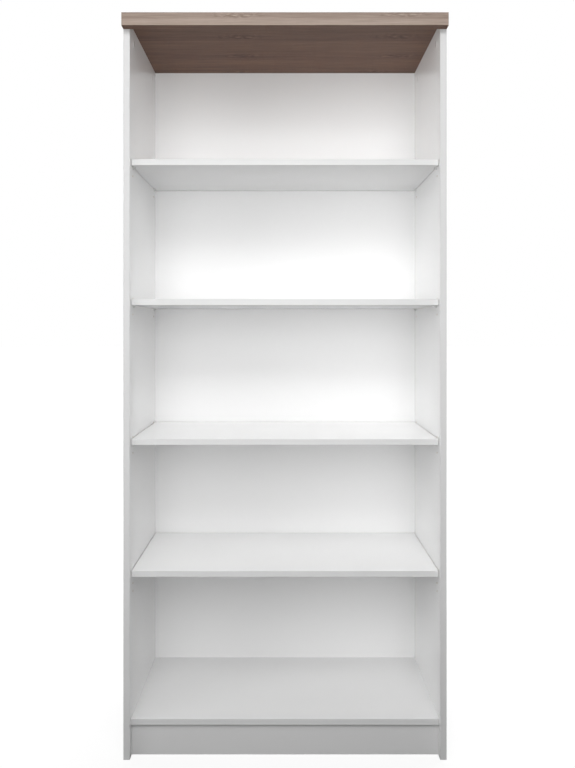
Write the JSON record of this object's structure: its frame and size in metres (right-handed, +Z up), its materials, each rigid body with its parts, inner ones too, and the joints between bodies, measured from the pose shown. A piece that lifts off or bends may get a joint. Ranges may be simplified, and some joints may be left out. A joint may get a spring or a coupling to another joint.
{
  "type": "bookcase with adjustable shelves",
  "caption": "Tall open bookcase: white board carcass with a wood-decor top, a recessed plinth, a thin nailed back and loose shelves on push-in pins.",
  "frame": {"origin": "on the floor under the middle of the bookcase", "axes": "+X to the right seen from the front, +Y to the back, +Z up"},
  "size_m": [0.8, 0.38, 1.84],
  "materials": {
    "white_laminate": "satin white melamine on chipboard",
    "white_edge_band": "satin",
    "oak_laminate": "grey-brown oak decor, lightly embossed",
    "oak_edge_band": "grey-brown oak print, satin",
    "white_hardboard": "white lacquer inside, bare brown hardboard behind",
    "white_plastic": "satin moulded",
    "zinc_fittings": "die-cast zinc, satin",
    "nail_steel": "bright wire",
    "beech_dowel": "plain beech"
  },
  "bodies": {
    "carcass": {"side_panel_left": "white_laminate", "side_panel_right": "white_laminate", "side_edge_band_left": "white_edge_band", "side_edge_band_right": "white_edge_band", "top_panel": "oak_laminate", "top_front_strip": "oak_laminate", "top_front_edge_band": "oak_edge_band", "top_edge_band_left": "oak_edge_band", "top_edge_band_right": "oak_edge_band", "strip_front_edge_band": "oak_edge_band", "strip_end_edge_bands": "oak_edge_band", "bottom_panel": "white_laminate", "bottom_edge_band": "white_edge_band", "plinth_board": "white_laminate", "back_panel": "white_hardboard", "back_panel_nails": "nail_steel", "top_cam_locks": "zinc_fittings", "bottom_cam_locks": "zinc_fittings", "plinth_cam_locks": "zinc_fittings", "top_cam_caps": "white_plastic", "top_cam_bolts": "zinc_fittings", "bottom_cam_bolts": "zinc_fittings", "plinth_cam_bolts": "zinc_fittings", "top_dowels": "beech_dowel", "bottom_dowels": "beech_dowel", "plinth_dowels": "beech_dowel"},
    "shelf_1": {"shelf_1_board": "white_laminate", "shelf_1_edge_band": "white_edge_band"},
    "shelf_1_pin_front_left": {"shelf_1_pin_front_left": "white_plastic"},
    "shelf_1_pin_rear_left": {"shelf_1_pin_rear_left": "white_plastic"},
    "shelf_1_pin_front_right": {"shelf_1_pin_front_right": "white_plastic"},
    "shelf_1_pin_rear_right": {"shelf_1_pin_rear_right": "white_plastic"},
    "shelf_2": {"shelf_2_board": "white_laminate", "shelf_2_edge_band": "white_edge_band"},
    "shelf_2_pin_front_left": {"shelf_2_pin_front_left": "white_plastic"},
    "shelf_2_pin_rear_left": {"shelf_2_pin_rear_left": "white_plastic"},
    "shelf_2_pin_front_right": {"shelf_2_pin_front_right": "white_plastic"},
    "shelf_2_pin_rear_right": {"shelf_2_pin_rear_right": "white_plastic"},
    "shelf_3": {"shelf_3_board": "white_laminate", "shelf_3_edge_band": "white_edge_band"},
    "shelf_3_pin_front_left": {"shelf_3_pin_front_left": "white_plastic"},
    "shelf_3_pin_rear_left": {"shelf_3_pin_rear_left": "white_plastic"},
    "shelf_3_pin_front_right": {"shelf_3_pin_front_right": "white_plastic"},
    "shelf_3_pin_rear_right": {"shelf_3_pin_rear_right": "white_plastic"},
    "shelf_4": {"shelf_4_board": "white_laminate", "shelf_4_edge_band": "white_edge_band"},
    "shelf_4_pin_front_left": {"shelf_4_pin_front_left": "white_plastic"},
    "shelf_4_pin_rear_left": {"shelf_4_pin_rear_left": "white_plastic"},
    "shelf_4_pin_front_right": {"shelf_4_pin_front_right": "white_plastic"},
    "shelf_4_pin_rear_right": {"shelf_4_pin_rear_right": "white_plastic"}
  },
  "joints": [
    {"name": "shelf_1_lift", "type": "slide", "parent": "carcass", "child": "shelf_1", "axis": [0, 0, 1], "range_m": [0, 0.3072]},
    {"name": "shelf_1_pin_front_left_pull", "type": "slide", "parent": "carcass", "child": "shelf_1_pin_front_left", "axis": [1, 0, 0], "range_m": [0, 0.0095]},
    {"name": "shelf_1_pin_rear_left_pull", "type": "slide", "parent": "carcass", "child": "shelf_1_pin_rear_left", "axis": [1, 0, 0], "range_m": [0, 0.0095]},
    {"name": "shelf_1_pin_front_right_pull", "type": "slide", "parent": "carcass", "child": "shelf_1_pin_front_right", "axis": [-1, 0, 0], "range_m": [0, 0.0095]},
    {"name": "shelf_1_pin_rear_right_pull", "type": "slide", "parent": "carcass", "child": "shelf_1_pin_rear_right", "axis": [-1, 0, 0], "range_m": [0, 0.0095]},
    {"name": "shelf_2_lift", "type": "slide", "parent": "carcass", "child": "shelf_2", "axis": [0, 0, 1], "range_m": [0, 0.3272]},
    {"name": "shelf_2_pin_front_left_pull", "type": "slide", "parent": "carcass", "child": "shelf_2_pin_front_left", "axis": [1, 0, 0], "range_m": [0, 0.0095]},
    {"name": "shelf_2_pin_rear_left_pull", "type": "slide", "parent": "carcass", "child": "shelf_2_pin_rear_left", "axis": [1, 0, 0], "range_m": [0, 0.0095]},
    {"name": "shelf_2_pin_front_right_pull", "type": "slide", "parent": "carcass", "child": "shelf_2_pin_front_right", "axis": [-1, 0, 0], "range_m": [0, 0.0095]},
    {"name": "shelf_2_pin_rear_right_pull", "type": "slide", "parent": "carcass", "child": "shelf_2_pin_rear_right", "axis": [-1, 0, 0], "range_m": [0, 0.0095]},
    {"name": "shelf_3_lift", "type": "slide", "parent": "carcass", "child": "shelf_3", "axis": [0, 0, 1], "range_m": [0, 0.3272]},
    {"name": "shelf_3_pin_front_left_pull", "type": "slide", "parent": "carcass", "child": "shelf_3_pin_front_left", "axis": [1, 0, 0], "range_m": [0, 0.0095]},
    {"name": "shelf_3_pin_rear_left_pull", "type": "slide", "parent": "carcass", "child": "shelf_3_pin_rear_left", "axis": [1, 0, 0], "range_m": [0, 0.0095]},
    {"name": "shelf_3_pin_front_right_pull", "type": "slide", "parent": "carcass", "child": "shelf_3_pin_front_right", "axis": [-1, 0, 0], "range_m": [0, 0.0095]},
    {"name": "shelf_3_pin_rear_right_pull", "type": "slide", "parent": "carcass", "child": "shelf_3_pin_rear_right", "axis": [-1, 0, 0], "range_m": [0, 0.0095]},
    {"name": "shelf_4_lift", "type": "slide", "parent": "carcass", "child": "shelf_4", "axis": [0, 0, 1], "range_m": [0, 0.3332]},
    {"name": "shelf_4_pin_front_left_pull", "type": "slide", "parent": "carcass", "child": "shelf_4_pin_front_left", "axis": [1, 0, 0], "range_m": [0, 0.0095]},
    {"name": "shelf_4_pin_rear_left_pull", "type": "slide", "parent": "carcass", "child": "shelf_4_pin_rear_left", "axis": [1, 0, 0], "range_m": [0, 0.0095]},
    {"name": "shelf_4_pin_front_right_pull", "type": "slide", "parent": "carcass", "child": "shelf_4_pin_front_right", "axis": [-1, 0, 0], "range_m": [0, 0.0095]},
    {"name": "shelf_4_pin_rear_right_pull", "type": "slide", "parent": "carcass", "child": "shelf_4_pin_rear_right", "axis": [-1, 0, 0], "range_m": [0, 0.0095]}
  ]
}
